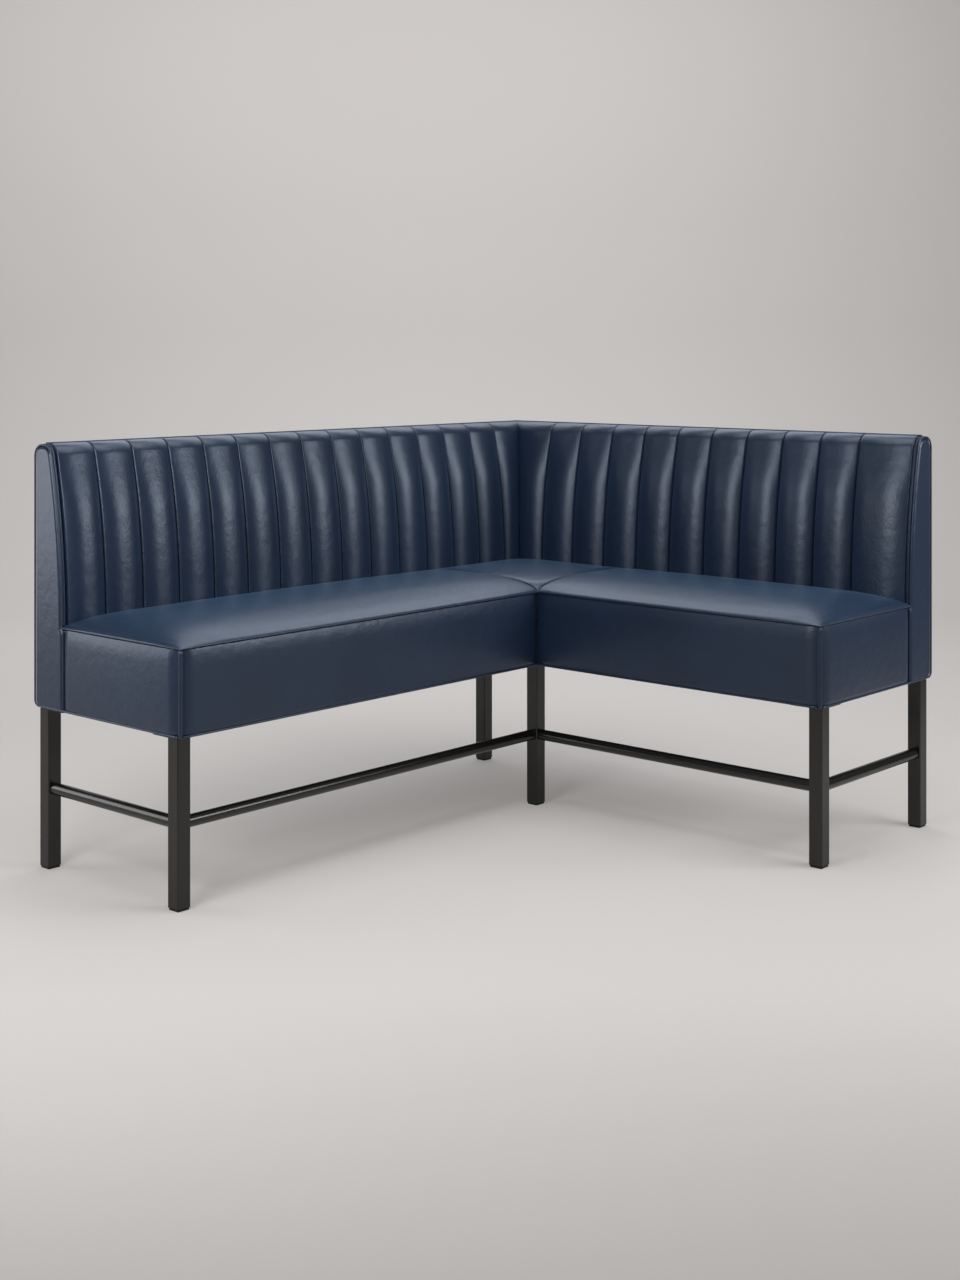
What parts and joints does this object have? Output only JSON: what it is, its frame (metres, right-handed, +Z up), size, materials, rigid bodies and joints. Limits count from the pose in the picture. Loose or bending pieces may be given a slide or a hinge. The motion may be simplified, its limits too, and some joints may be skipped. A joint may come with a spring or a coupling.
{
  "type": "corner booth bench",
  "caption": "L-shaped restaurant booth bench with channelled leather backrests, crowned seat cushions and a square-tube steel base with round stretchers.",
  "frame": {"origin": "on the floor, under the centre of the bench's bounding box", "axes": "+X along the long wing towards the corner, +Y towards the long wing's back, +Z up"},
  "size_m": [1.55, 1.25, 0.8873],
  "materials": {
    "leather": "smooth satin navy upholstery leather",
    "powder_coat": "satin black powder coat",
    "glide_plastic": "matte black moulded",
    "plywood": "raw birch plywood",
    "softwood": "planed softwood",
    "zinc_steel": "zinc plated",
    "dust_cloth": "black woven cloth"
  },
  "bodies": {
    "root": {"corner_bolts": "zinc_steel", "corner_nuts": "zinc_steel", "corner_seat_cushion": "leather", "glide_corner_front": "glide_plastic", "glide_corner_rear": "glide_plastic", "glide_long_front": "glide_plastic", "glide_long_rear": "glide_plastic", "glide_short_front": "glide_plastic", "glide_short_rear": "glide_plastic", "leg_corner_front": "powder_coat", "leg_corner_rear": "powder_coat", "leg_long_front": "powder_coat", "leg_long_rear": "powder_coat", "leg_mounting_plates": "powder_coat", "leg_plate_screws": "zinc_steel", "leg_short_front": "powder_coat", "leg_short_rear": "powder_coat", "long_back_bottom_rail": "softwood", "long_back_end_panel": "leather", "long_back_face_board": "plywood", "long_back_pad": "leather", "long_back_rear_cover": "leather", "long_back_ribs": "plywood", "long_back_top_rail": "softwood", "long_base_board": "plywood", "long_corner_welt": "leather", "long_cross_rails": "softwood", "long_deck_board": "plywood", "long_dust_cloth": "dust_cloth", "long_end_welts": "leather", "long_front_panel": "leather", "long_front_rail": "softwood", "long_rear_rail": "softwood", "long_seat_cushion": "leather", "long_seat_end_panel": "leather", "short_back_bottom_rail": "softwood", "short_back_end_panel": "leather", "short_back_face_board": "plywood", "short_back_pad": "leather", "short_back_rear_cover": "leather", "short_back_ribs": "plywood", "short_back_top_rail": "softwood", "short_base_board": "plywood", "short_corner_welt": "leather", "short_cross_rails": "softwood", "short_deck_board": "plywood", "short_dust_cloth": "dust_cloth", "short_end_welts": "leather", "short_front_panel": "leather", "short_front_rail": "softwood", "short_rear_rail": "softwood", "short_seat_cushion": "leather", "short_seat_end_panel": "leather", "stretcher_long_end": "powder_coat", "stretcher_long_front": "powder_coat", "stretcher_short_end": "powder_coat", "stretcher_short_front": "powder_coat"}
  },
  "joints": []
}
